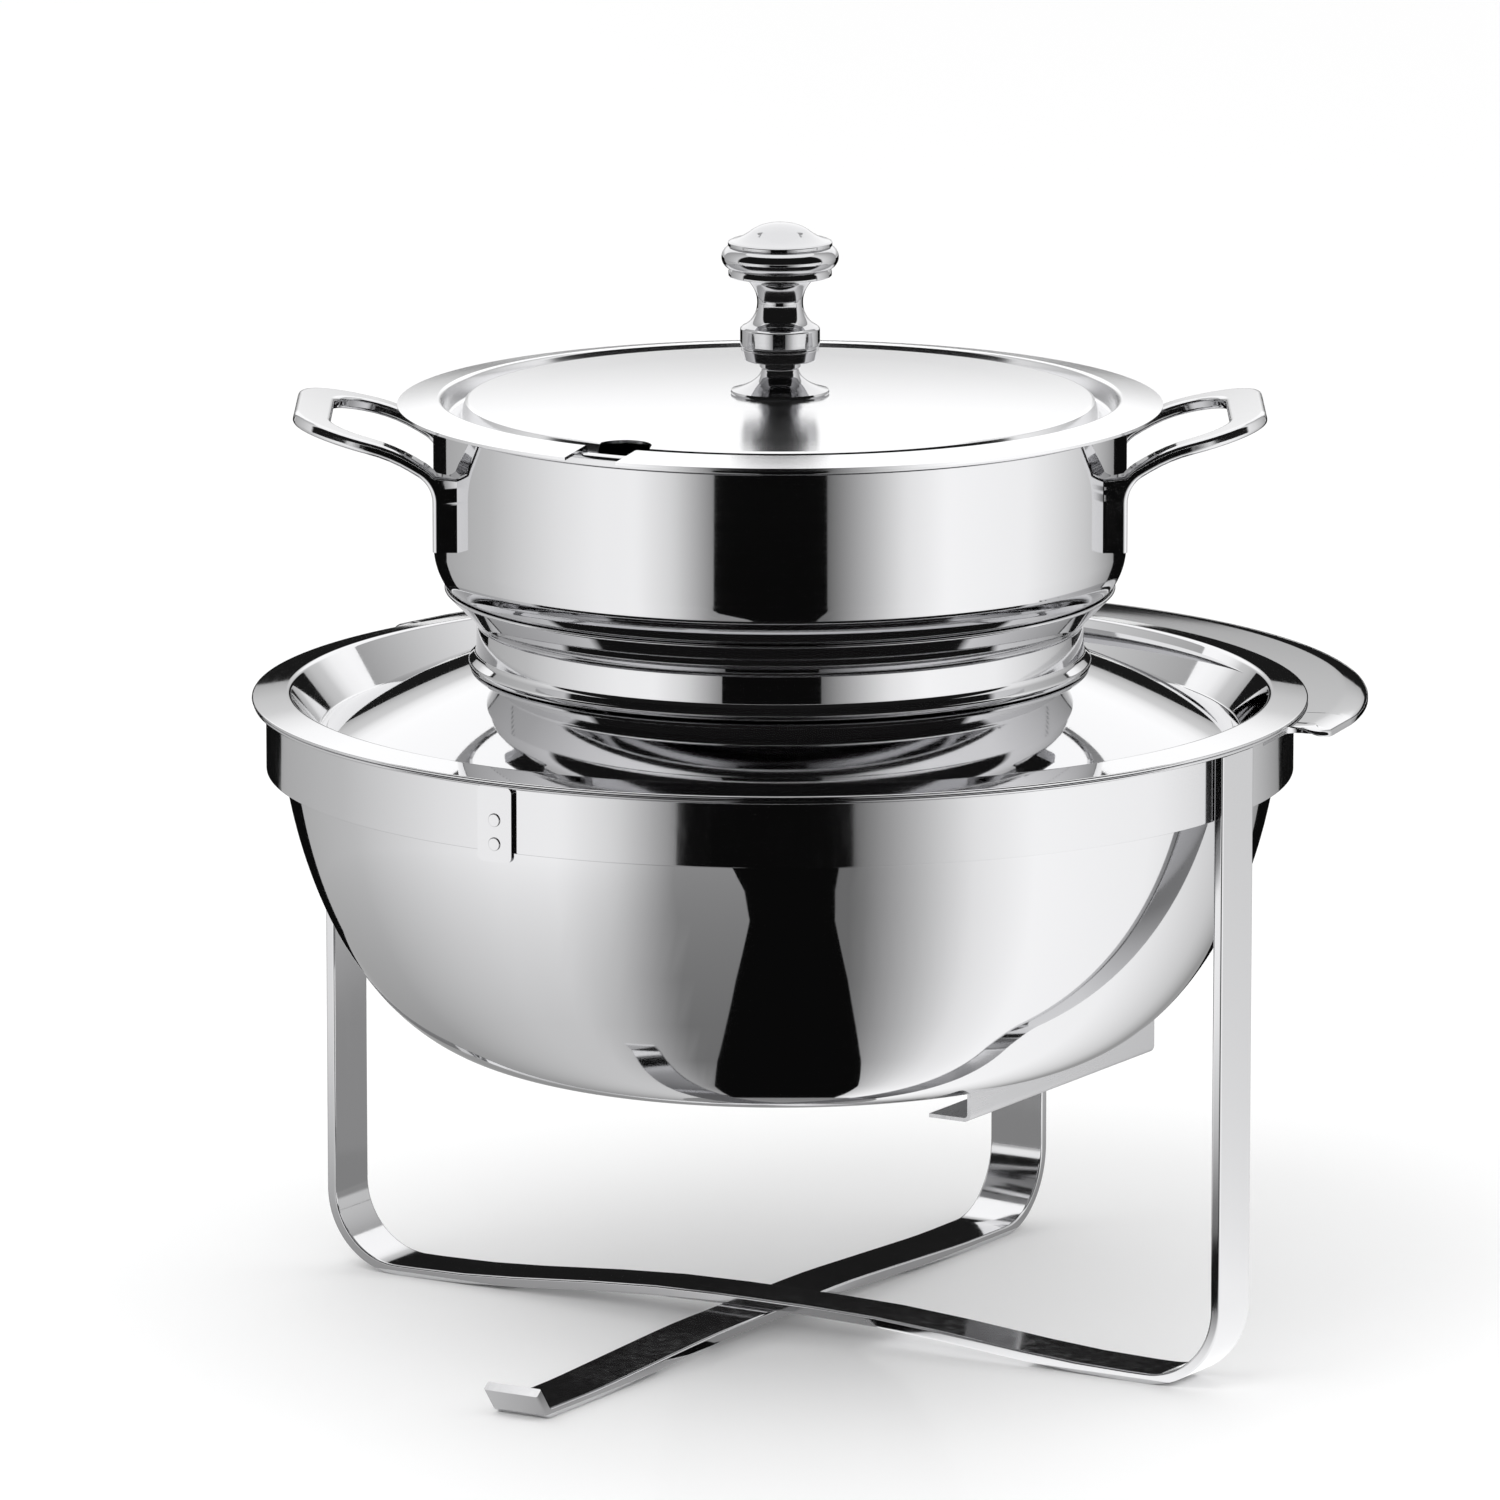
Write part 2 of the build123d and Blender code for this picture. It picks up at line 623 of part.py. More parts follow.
with BuildPart() as knob_head:
    with BuildSketch(Plane.XZ):
        with BuildLine():
            Polyline(
                (0, SPACER_TOP),
                (SPACER_RADIUS - 0.5, SPACER_TOP),
                (SPACER_RADIUS - 0.5, KNOB_BAND_BOTTOM),
                (KNOB_BAND_RADIUS, KNOB_BAND_BOTTOM + 0.3),
                (KNOB_BAND_RADIUS, KNOB_BAND_TOP),
                (KNOB_BAND_RADIUS - 0.4, KNOB_BAND_TOP + 0.5),
            )
            Spline(
                (KNOB_BAND_RADIUS - 0.4, KNOB_BAND_TOP + 0.5),
                (12.4, 398.3),
                (10.2, 400.8),
                (KNOB_WAIST_RADIUS, KNOB_WAIST),
                (10.2, KNOB_WAIST + 5.8),
                (13.6, KNOB_RING_BOTTOM - 1.2),
                (KNOB_RING_RADIUS - 0.4, KNOB_RING_BOTTOM),
                tangents=[(-0.9, 0.3), (1, 0.1)],
            )
            Polyline(
                (KNOB_RING_RADIUS - 0.4, KNOB_RING_BOTTOM),
                (KNOB_RING_RADIUS, KNOB_RING_BOTTOM + 0.5),
                (KNOB_RING_RADIUS, KNOB_BEAD),
                (KNOB_CAP_RADIUS, KNOB_BEAD),
                (KNOB_CAP_RADIUS, KNOB_CAP_EDGE - 0.4),
                (KNOB_CAP_RADIUS - 0.5, KNOB_CAP_EDGE),
            )
            Spline(
                (KNOB_CAP_RADIUS - 0.5, KNOB_CAP_EDGE),
                (14.2, 432.4),
                (10.0, 435.2),
                (0, KNOB_TOP),
                tangents=[(-1, 0.15), (-1, 0)],
            )
            Line((0, KNOB_TOP), (0, SPACER_TOP))
        make_face()
        with Locations((KNOB_BEAD_REACH - KNOB_BEAD_RADIUS, KNOB_BEAD)):
            Circle(KNOB_BEAD_RADIUS)
    revolve(axis=Axis.Z)
    add(knob_stud.part, mode=Mode.SUBTRACT)
finish(knob_head, "knob_head")
finish(knob_stud, "knob_stud")
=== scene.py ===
"""Looks of the round soup chafing dish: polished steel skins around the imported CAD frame.

Lengths in the profiles are millimetres from the dish axis. add_mesh() moves them to
the shared frame, where the axis stands AXIS_Y from the origin. The studio and the
camera are in metres.
"""

import math

import bpy
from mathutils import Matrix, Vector


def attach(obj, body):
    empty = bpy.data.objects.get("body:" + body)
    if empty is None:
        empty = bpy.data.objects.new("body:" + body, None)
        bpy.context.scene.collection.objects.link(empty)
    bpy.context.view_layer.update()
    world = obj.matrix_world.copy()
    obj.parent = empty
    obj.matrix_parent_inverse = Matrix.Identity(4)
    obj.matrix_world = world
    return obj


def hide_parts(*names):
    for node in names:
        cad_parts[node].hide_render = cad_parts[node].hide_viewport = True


MM = 0.001
AXIS_Y = -19.2
ROUND = 256                 # columns of a large turned piece
SMALL_ROUND = 128           # columns of a knob-size turned piece
SHARP_ANGLE = math.radians(35)

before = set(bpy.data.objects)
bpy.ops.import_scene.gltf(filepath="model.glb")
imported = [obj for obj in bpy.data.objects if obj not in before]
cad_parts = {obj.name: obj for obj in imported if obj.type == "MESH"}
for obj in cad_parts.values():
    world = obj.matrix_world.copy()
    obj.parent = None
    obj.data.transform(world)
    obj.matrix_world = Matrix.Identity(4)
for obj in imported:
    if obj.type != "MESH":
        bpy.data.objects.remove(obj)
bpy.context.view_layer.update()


# ------------------------------------------------------------------ mesh helpers
def add_mesh(name, vertices, faces, body, node, material):
    """Make a smooth mesh piece from dish-axis millimetres and register it with the frame."""
    mesh = bpy.data.meshes.new(name)
    moved = [(x * MM, (y + AXIS_Y) * MM, z * MM) for x, y, z in vertices]
    mesh.from_pydata(moved, [], faces)
    mesh.validate()
    mesh.polygons.foreach_set("use_smooth", [True] * len(mesh.polygons))
    mesh.set_sharp_from_angle(angle=SHARP_ANGLE)
    mesh.materials.append(material)
    mesh.update()
    piece = bpy.data.objects.new(name, mesh)
    bpy.context.scene.collection.objects.link(piece)
    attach(piece, body)
    if node:
        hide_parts(node)


def spaced(a, b, step, guard=0.25):
    """Points along a straight run, with one close to each end so shading stays flat."""
    length = math.dist(a, b)
    if length < 3 * guard:
        return [a, b]
    count = max(1, int(length / step))
    stops = [0.0, guard / length] + [i / count for i in range(1, count)] + [1 - guard / length, 1.0]
    return [tuple(p + (q - p) * t for p, q in zip(a, b)) for t in stops]


def rounded(points, radii, step=6.0, turn=5.0, closed=False):
    """Dense outline through 2D points with each corner rounded to its radius."""
    count = len(points)
    corners = range(count) if closed else range(1, count - 1)
    arcs = {}
    for k in corners:
        p = Vector(points[k])
        before = Vector(points[k - 1]) - p
        after = Vector(points[(k + 1) % count]) - p
        radius = radii[k if closed else k - 1]
        angle = before.angle(after)
        if radius <= 0 or angle > math.pi - 1e-4:
            arcs[k] = [tuple(p)]
            continue
        ends = 0 if closed else 1
        room_before = (0.98 if ends and k == 1 else 0.49) * before.length
        room_after = (0.98 if ends and k == count - 2 else 0.49) * after.length
        reach = min(radius / math.tan(angle / 2), room_before, room_after)
        radius = reach * math.tan(angle / 2)
        middle = before.normalized() + after.normalized()
        centre = p + middle.normalized() * (radius / math.sin(angle / 2))
        start = p + before.normalized() * reach - centre
        end = p + after.normalized() * reach - centre
        a0 = math.atan2(start.y, start.x)
        sweep = math.atan2(start.x * end.y - start.y * end.x, start.dot(end))
        pieces = max(2, int(abs(math.degrees(sweep)) / turn))
        arcs[k] = [
            (
                centre.x + radius * math.cos(a0 + sweep * i / pieces),
                centre.y + radius * math.sin(a0 + sweep * i / pieces),
            )
            for i in range(pieces + 1)
        ]
    outline = []
    runs = [arcs[k] if k in arcs else [tuple(points[k])] for k in range(count)]
    for k in range(count):
        if k:
            outline += spaced(outline[-1], runs[k][0], step)[1:]
            outline += runs[k][1:]
        else:
            outline += runs[k]
    if closed:
        outline += spaced(outline[-1], outline[0], step)[1:-1]
    return outline


def normals(path):
    """Left-hand unit normal at each point of an open path."""
    result = []
    for k, p in enumerate(path):
        a = Vector(path[max(0, k - 1)])
        b = Vector(path[min(len(path) - 1, k + 1)])
        d = (b - a).normalized()
        result.append(Vector((-d.y, d.x)))
    return result


def sheet(path, thickness):
    """Closed section of a sheet whose visible side is the path, with round edges."""
    side = normals(path)
    back = [(p[0] + n.x * thickness, p[1] + n.y * thickness) for p, n in zip(path, side)]
    section = list(path)
    for (front, rear, n, sign) in (
        (path[-1], back[-1], side[-1], 1),
        (path[0], back[0], side[0], -1),
    ):
        along = Vector((n.y, -n.x)) * sign
        middle = (Vector(front) + Vector(rear)) / 2
        cap = []
        for i in range(1, 6):
            angle = math.pi * i / 6
            across = n * (thickness / 2 * math.cos(angle))
            outwards = along * (thickness / 2 * math.sin(angle))
            cap.append(tuple(middle - across + outwards))
        if sign == 1:
            section += cap + back[::-1]
        else:
            section += cap[::-1]
    return section


def lathe(name, section, columns, body, node, material, closed=True):
    """Turn a section about the dish axis. Points on the axis become one vertex."""
    vertices = []
    rows = []
    for r, z in section:
        if r < 1e-6:
            rows.append([len(vertices)])
            vertices.append((0.0, 0.0, z))
            continue
        rows.append(list(range(len(vertices), len(vertices) + columns)))
        for k in range(columns):
            a = 2 * math.pi * k / columns
            vertices.append((r * math.cos(a), r * math.sin(a), z))
    faces = []
    pairs = list(zip(rows, rows[1:]))
    if closed:
        pairs.append((rows[-1], rows[0]))
    for low, high in pairs:
        if len(low) == 1 and len(high) == 1:
            continue
        for k in range(columns):
            n = (k + 1) % columns
            if len(low) == 1:
                faces.append((low[0], high[n], high[k]))
            elif len(high) == 1:
                faces.append((low[k], low[n], high[0]))
            else:
                faces.append((low[k], low[n], high[n], high[k]))
    add_mesh(name, vertices, faces, body, node, material)


def skin(rings):
    """Vertices and faces that join equal rings in order, with both ends capped."""
    vertices = [v for ring in rings for v in ring]
    n = len(rings[0])
    faces = []
    for i in range(len(rings) - 1):
        a = i * n
        b = a + n
        for k in range(n):
            m = (k + 1) % n
            faces.append((a + k, a + m, b + m, b + k))
    faces.append(tuple(range(n))[::-1])
    faces.append(tuple((len(rings) - 1) * n + k for k in range(n)))
    return vertices, faces


def bar_section(width, thickness, edge):
    """Flat bar section with rounded long edges: (across, through) pairs."""
    w, t = width / 2, thickness / 2
    corners = [(-w, -t), (w, -t), (w, t), (-w, t)]
    return rounded(corners, [edge] * 4, step=width, turn=22.5, closed=True)


# --------------------------------------------------------------------- materials
def steel(name, colour, rough, spread, scale, bump=0.0, stretch=(1, 1, 1), turned=False):
    """Polished or satin stainless steel with fine polishing marks and faint smears."""
    material = bpy.data.materials.new(name)
    material.use_nodes = True
    tree = material.node_tree
    shader = tree.nodes["Principled BSDF"]
    shader.inputs["Base Color"].default_value = (*colour, 1)
    shader.inputs["Metallic"].default_value = 1.0
    place = tree.nodes.new("ShaderNodeTexCoord")
    source = place.outputs["Object"]
    if turned:
        # marks run round the axis, so the pattern only knows radius and height
        split = tree.nodes.new("ShaderNodeSeparateXYZ")
        tree.links.new(source, split.inputs[0])
        centred = tree.nodes.new("ShaderNodeMath")
        centred.operation = "SUBTRACT"
        centred.inputs[1].default_value = AXIS_Y * MM
        tree.links.new(split.outputs["Y"], centred.inputs[0])
        flat = tree.nodes.new("ShaderNodeCombineXYZ")
        tree.links.new(split.outputs["X"], flat.inputs["X"])
        tree.links.new(centred.outputs[0], flat.inputs["Y"])
        radius = tree.nodes.new("ShaderNodeVectorMath")
        radius.operation = "LENGTH"
        tree.links.new(flat.outputs[0], radius.inputs[0])
        rings = tree.nodes.new("ShaderNodeCombineXYZ")
        tree.links.new(radius.outputs["Value"], rings.inputs["X"])
        tree.links.new(split.outputs["Z"], rings.inputs["Z"])
        source = rings.outputs[0]
    mapping = tree.nodes.new("ShaderNodeMapping")
    mapping.inputs["Scale"].default_value = stretch
    tree.links.new(source, mapping.inputs["Vector"])
    marks = tree.nodes.new("ShaderNodeTexNoise")
    marks.inputs["Scale"].default_value = scale
    marks.inputs["Detail"].default_value = 4.0
    tree.links.new(mapping.outputs[0], marks.inputs["Vector"])
    smears = tree.nodes.new("ShaderNodeTexNoise")
    smears.inputs["Scale"].default_value = 9.0
    smears.inputs["Detail"].default_value = 3.0
    tree.links.new(place.outputs["Object"], smears.inputs["Vector"])
    both = tree.nodes.new("ShaderNodeMath")
    both.operation = "MULTIPLY"
    tree.links.new(marks.outputs["Fac"], both.inputs[0])
    tree.links.new(smears.outputs["Fac"], both.inputs[1])
    ramp = tree.nodes.new("ShaderNodeMapRange")
    ramp.inputs["From Min"].default_value = 0.1
    ramp.inputs["From Max"].default_value = 0.45
    ramp.inputs["To Min"].default_value = rough
    ramp.inputs["To Max"].default_value = rough + spread
    tree.links.new(both.outputs[0], ramp.inputs["Value"])
    tree.links.new(ramp.outputs[0], shader.inputs["Roughness"])
    if bump:
        relief = tree.nodes.new("ShaderNodeBump")
        relief.inputs["Strength"].default_value = bump
        relief.inputs["Distance"].default_value = 0.0002
        tree.links.new(marks.outputs["Fac"], relief.inputs["Height"])
        tree.links.new(relief.outputs[0], shader.inputs["Normal"])
    return material


MIRROR = (0.67, 0.67, 0.68)
spun = steel("spun_mirror_steel", MIRROR, 0.02, 0.05, 900, bump=0.004, turned=True)
knob_finish = steel("turned_steel", (0.56, 0.56, 0.57), 0.03, 0.06, 1600, bump=0.006, turned=True)
pot_finish = steel("pot_steel", MIRROR, 0.025, 0.05, 700, bump=0.004, turned=True)
lid_finish = steel("lid_steel", (0.76, 0.76, 0.77), 0.13, 0.06, 800, bump=0.002, turned=True)
bar_finish = steel("bar_steel", (0.66, 0.66, 0.67), 0.05, 0.08, 260, bump=0.02, stretch=(1, 1, 0.2))
cast = steel("cast_steel", (0.66, 0.66, 0.67), 0.05, 0.08, 180, bump=0.03)
satin = steel("satin_steel", (0.58, 0.58, 0.59), 0.2, 0.2, 420, bump=0.12, stretch=(1, 0.05, 1))
plain = steel("fastener_steel", (0.60, 0.60, 0.61), 0.25, 0.15, 500, bump=0.1)


# -------------------------------------------------------------------------- stand
BAR_WIDTH, BAR_THICKNESS, BAR_EDGE = 24.0, 4.0, 0.7


def flat_bar(name, path, across, node, offset=0.0):
    """Bent flat bar: the section follows a path in a vertical plane."""
    section = bar_section(BAR_WIDTH, BAR_THICKNESS, BAR_EDGE)
    rings = []
    for (u, z), n in zip(path, normals(path)):
        ring = []
        for w, t in section:
            du, dz = u + n.x * t, z + n.y * t
            ring.append((du, w, dz) if across == "y" else (w + offset, du, dz))
        rings.append(ring)
    vertices, faces = skin(rings)
    add_mesh(name, vertices, faces, "stand", node, bar_finish)


LEG_TOP, LEG = 249.5, 202.0             # bar centre lines
BEND, ARCH, ARCH_END = 32.0, 700.0, 560.0
LOW = BAR_THICKNESS / 2                 # height of a bar that lies on the table
CROSS_HIGH, REAR_HIGH = 9.55, 5.5       # heights where the bars cross
ARCH_OUT, ARCH_IN = 140, 50             # the arches run between these distances
cross_path = rounded(
    [
        (-LEG, LEG_TOP), (-LEG, LOW), (-ARCH_OUT, LOW), (-ARCH_IN, CROSS_HIGH),
        (ARCH_IN, CROSS_HIGH), (ARCH_OUT, LOW), (LEG, LOW), (LEG, LEG_TOP),
    ],
    [BEND, ARCH_END, ARCH, ARCH, ARCH_END, BEND],
    turn=3.0,
)
flat_bar("cross_bar_skin", cross_path, "y", "cross_leg")
FOOT_TURN, FOOT_TIP, REAR_BAR_X = 177, (-184.4, 11.6), -8.0
rear_path = rounded(
    [
        (LEG, LEG_TOP), (LEG, LOW), (ARCH_OUT, LOW), (ARCH_IN, REAR_HIGH),
        (-ARCH_IN, REAR_HIGH), (-ARCH_OUT, LOW), (-FOOT_TURN, LOW), FOOT_TIP,
    ],
    [BEND, ARCH_END, ARCH, ARCH, ARCH_END, 4.0],
    turn=3.0,
)
flat_bar("rear_bar_skin", rear_path, "x", "rear_leg", offset=REAR_BAR_X)

RING, RING_LOW, RING_HIGH, STRIP = 200.0, 224.0, 249.0, 2.0
ring_section = rounded(
    [(RING, RING_LOW), (RING, RING_HIGH), (RING - STRIP, RING_HIGH), (RING - STRIP, RING_LOW)],
    [0.35] * 4,
    step=4.0,
    turn=22.5,
    closed=True,
)
lathe("support_ring_skin", ring_section, ROUND, "stand", "support_ring", bar_finish)

# -------------------------------------------------------------------------- basin
SHEET = 1.2
RIM_LOW, RIM_TOP, RIM_EDGE = 249.9, 251.1, 204.5
WALL_CENTRE, WALL_REACH, WALL_RISE, FLOOR = (110.0, 262.0), 86.0, 149.0, 113.0
bowl = spaced((0.0, FLOOR), (WALL_CENTRE[0], FLOOR), 5.0)[:-1]
ARC_STEPS = 90
for i in range(ARC_STEPS + 1):
    a = math.radians(270 + 85 * i / ARC_STEPS)
    bowl.append((WALL_CENTRE[0] + WALL_REACH * math.cos(a), WALL_CENTRE[1] + WALL_RISE * math.sin(a)))
rim_turn = rounded([bowl[-1], (195.9, RIM_LOW), (RIM_EDGE, RIM_LOW)], [0.5], step=3.0)
bowl += rim_turn[1:]
bowl_back = [(p[0] + n.x * SHEET, p[1] + n.y * SHEET) for p, n in zip(bowl, normals(bowl))]
bowl_back[0] = (0.0, FLOOR + SHEET)
edge_cap = [
    (RIM_EDGE + 0.35, RIM_LOW + 0.25), (RIM_EDGE + 0.5, (RIM_LOW + RIM_TOP) / 2),
    (RIM_EDGE + 0.35, RIM_TOP - 0.25),
]
lathe(
    "water_basin_skin", bowl + edge_cap + bowl_back[::-1], ROUND, "basin", "water_basin",
    spun, closed=False,
)

# landing behind the rim: flat, then a rolled slope down to a hemmed edge
LAND_CENTRE, LAND_RADIUS, LAND_FRONT = 28.0, 215.5, 50.2
corner_x = math.sqrt(LAND_RADIUS**2 - (LAND_FRONT - LAND_CENTRE) ** 2)
start = math.degrees(math.atan2(LAND_FRONT - LAND_CENTRE, corner_x))
big = [
    (LAND_RADIUS * math.cos(math.radians(a)), LAND_CENTRE + LAND_RADIUS * math.sin(math.radians(a)))
    for a in [start + (180 - 2 * start) * i / 120 for i in range(121)]
]
WAIST_LOW = (203.6, 20.0)
half = [WAIST_LOW, (198.6, LAND_FRONT), big[0], big[6]]
side = rounded(half, [5.0, 12.0], step=1.5, turn=4.0)
outline = side[:-1] + big[6:-6] + [(-x, y) for x, y in side[:-1]][::-1]
slope = [  # inset from the edge and height of the sheet's top side
    (1.2, RIM_TOP - 4.0), (0.0, RIM_TOP - 4.0), (0.0, RIM_TOP - 2.6), (0.35, RIM_TOP - 1.9),
    (1.2, RIM_TOP - 1.35), (3.0, RIM_TOP - 0.85), (5.5, RIM_TOP - 0.4), (8.0, RIM_TOP - 0.1),
    (9.0, RIM_TOP - 0.02), (10.5, RIM_TOP),
]
FADE_START, FADE_RUN = 205.0, 16.0      # the slope fades out where the landing meets the rim
JOIN_OUT, JOIN_IN = 206.5, 204.2        # the landing ends on the rim between these radii
rings = []
for (x, y), n in zip(outline, normals(outline)):
    row = []
    fade = min(1.0, max(0.0, (math.hypot(x, y) - FADE_START) / FADE_RUN))
    fade = fade * fade * (3 - 2 * fade)
    for inset, z in slope:
        pull = inset * fade
        row.append((x + n.x * pull, y + n.y * pull, RIM_TOP + (z - RIM_TOP) * max(fade, 0.3)))
    reach = math.hypot(*row[-1][:2])
    last = row[-1]
    for r, z in ((JOIN_OUT, RIM_TOP), (JOIN_IN, RIM_TOP - 0.03)):
        k = min(1.0, r / reach)
        row.append((row[-1][0] * k, row[-1][1] * k, z))
    for r in (JOIN_IN, JOIN_OUT):
        k = min(1.0, r / reach)
        row.append((last[0] * k, last[1] * k, RIM_LOW))
    row.append((x + n.x * 3.0 * fade, y + n.y * 3.0 * fade, RIM_TOP - 0.85 - SHEET))
    row.append((x + n.x * 1.2 * fade, y + n.y * 1.2 * fade, RIM_TOP - 2.6))
    rings.append(row)
vertices, faces = skin(rings)
add_mesh("landing_skin", vertices, faces, "basin", None, spun)

# --------------------------------------------------------------- cover and collar
COVER_EDGE, COVER_TOP = 205.0, 252.6
cover_line = rounded(
    [(COVER_EDGE, COVER_TOP), (190.8, COVER_TOP + 2.05), (179.5, 238.6), (176.6, 238.6), (176.0, 240.0)],
    [2.0, 1.0, 0.6],
    step=3.0,
)
DOME_TOP, DOME_SPAN, DOME_EDGE, DOME_HOLE, DOME_STEPS = 285.0, 686.0, 175.4, 112, 40
dome_radii = [DOME_EDGE - i * (DOME_EDGE - DOME_HOLE) / DOME_STEPS for i in range(DOME_STEPS + 1)]
dome = [(r, DOME_TOP - r * r / DOME_SPAN) for r in dome_radii]
lathe(
    "ring_cover_skin", sheet(cover_line + dome, SHEET), ROUND, "cover", "ring_cover", spun
)
collar_line = rounded(
    [(121.0, 265.0), (121.2, 266.8), (118.2, 269.6), (118.0, 282.1), (130.2, 294.4)],
    [1.2, 2.5, 3.0],
    step=2.5,
)
lathe("collar_skin", sheet(collar_line, SHEET), ROUND, "cover", "collar", spun)

# ------------------------------------------------------------------------- tureen
POT, POT_FLOOR, POT_RIM, POT_SHEET = 134.5, 286.1, 366.9, 1.5
POT_INSIDE, POT_CORNER = POT - POT_SHEET, 25.0
BEAD_EDGE, BEAD_LOW, BEAD_INSIDE_LOW = 137.4, 361.9, 360.9
pot_line = rounded([(0.0, POT_FLOOR), (POT, POT_FLOOR), (POT, BEAD_LOW)], [POT_CORNER], step=4.0, turn=3.0)
bead = rounded(
    [
        (POT, BEAD_LOW), (BEAD_EDGE, BEAD_LOW), (BEAD_EDGE, POT_RIM), (POT_INSIDE, POT_RIM),
        (POT_INSIDE, BEAD_INSIDE_LOW),
    ],
    [1.4, 1.8, 1.2],
    step=1.0,
    turn=9.0,
)
pot_inside = rounded(
    [
        (POT_INSIDE, BEAD_INSIDE_LOW), (POT_INSIDE, POT_FLOOR + POT_SHEET), (0.0, POT_FLOOR + POT_SHEET),
    ],
    [POT_CORNER - POT_SHEET],
    step=4.0,
    turn=3.0,
)
lathe(
    "tureen_skin", pot_line + bead[1:] + pot_inside[1:], ROUND, "pot", "tureen", pot_finish,
    closed=False,
)

HANDLE_TURN = 31.0
ARM, WEB, THICK = 10.5, 14.0, 5.0
PAD_FACE, PAD_LOW, PAD_HIGH = 133.5, 317.0, 343.0
REACH, HALF_WIDTH = 188.4, 52.0
ARM_START, STRIP_END = 150.0, 190.5     # the arms leave the pad's bend and run out to the loop
WIDEN_START = 155.0                     # from here the arms widen to the loop's web
strip = rounded(
    [(PAD_FACE, PAD_LOW), (PAD_FACE, PAD_HIGH), (ARM_START, 353.0), (STRIP_END, 363.5)],
    [12.0, 60.0],
    step=1.5,
    turn=4.0,
)
strip_side = normals(strip)


def on_strip(x):
    """Height and normal of the handle's top face at a distance from the axis."""
    for (a, b, na, nb) in zip(strip, strip[1:], strip_side, strip_side[1:]):
        if a[0] <= x <= b[0] and b[0] > a[0]:
            t = (x - a[0]) / (b[0] - a[0])
            return a[1] + (b[1] - a[1]) * t, (na * (1 - t) + nb * t).normalized()
    return strip[-1][1], strip_side[-1]


plan = rounded(
    [(ARM_START, HALF_WIDTH - ARM / 2), (REACH - WEB / 2, HALF_WIDTH - ARM / 2), (REACH - WEB / 2, 0.0)],
    [25.0],
    step=2.0,
    turn=3.0,
)


def handle_rings():
    """Rounded sections along one loop handle, before it is turned to its place."""
    stations = []
    for (x, z), n in zip(strip, strip_side):
        if x < ARM_START:
            stations.append(((x, HALF_WIDTH - ARM / 2, z), (0.0, 1.0), n, ARM))
    for k, (x, y) in enumerate(plan):
        a, b = plan[max(0, k - 1)], plan[min(len(plan) - 1, k + 1)]
        d = Vector((b[0] - a[0], b[1] - a[1])).normalized()
        z, n = on_strip(x)
        t = min(1.0, max(0.0, (x - WIDEN_START) / (REACH - WEB / 2 - WIDEN_START)))
        stations.append(((x, y, z), (-d.y, d.x), n, ARM + (WEB - ARM) * t * t))
    rings = []
    for (x, y, z), across, n, width in stations:
        ring = []
        for w, t in rounded(
            [(-width / 2, 0), (width / 2, 0), (width / 2, THICK), (-width / 2, THICK)],
            [1.6] * 4, step=width, turn=15.0, closed=True,
        ):
            px, py = x + across[0] * w, y + across[1] * w
            height, lean = (z, n) if x < ARM_START else on_strip(min(px, STRIP_END - 0.1))
            qx, qz = px + lean.x * t, height + lean.y * t
            if z < PAD_HIGH and t > THICK / 2:
                qx = min(qx, math.sqrt(POT**2 - py**2) - 0.2)
            ring.append((qx, py, qz))
        rings.append(ring)
    return rings


for sign, label in ((1, "handle_right"), (-1, "handle_left")):
    half_rings = handle_rings()
    mirrored = [[(x, -y, z) for x, y, z in ring] for ring in half_rings[::-1]][1:]
    loops = half_rings + mirrored
    turn = math.radians(HANDLE_TURN + (0 if sign == 1 else 180))
    c, s = math.cos(turn), math.sin(turn)
    loops = [[(x * c - y * s, x * s + y * c, z) for x, y, z in ring] for ring in loops]
    vertices, faces = skin(loops)
    add_mesh(label + "_skin", vertices, faces, "pot", label, cast)

# ---------------------------------------------------------------------------- lid
LID_EDGE, LID_SHEET = 148.4, 1.2
LID_LOW, LID_CROWN = 366.9, 370.6
SPAN, DISC_EDGE, GROOVE = 121.0, 368.6, 360.6       # disc radius, disc edge height, groove floor
lid_line = rounded(
    [
        (LID_EDGE, LID_LOW), (131.5, LID_LOW + 2.45), (129.6, GROOVE), (124.6, GROOVE),
        (122.0, DISC_EDGE - 0.6), (SPAN, DISC_EDGE),
    ],
    [1.5, 1.8, 1.8, 0.4],
    step=2.5,
)
SAG, DISC_START, DISC_STEPS = LID_CROWN - DISC_EDGE, 120.6, 40
disc_radii = [DISC_START - i * DISC_START / DISC_STEPS for i in range(DISC_STEPS + 1)]
lid_line += [(r, LID_CROWN - SAG * (r / SPAN) ** 2) for r in disc_radii]
SLOT_HALF, SLOT_END, SLOT_TURN = 11.0, 123.0, math.radians(-88.0)


def slot_angle(r):
    """Half angle of the ladle slot at a radius."""
    if r <= SLOT_END - SLOT_HALF:
        return 0.0
    if r < math.hypot(SLOT_END, SLOT_HALF):
        return math.acos(min(1.0, (r * r + SLOT_END**2 - SLOT_HALF**2) / (2 * r * SLOT_END)))
    return math.asin(SLOT_HALF / r)


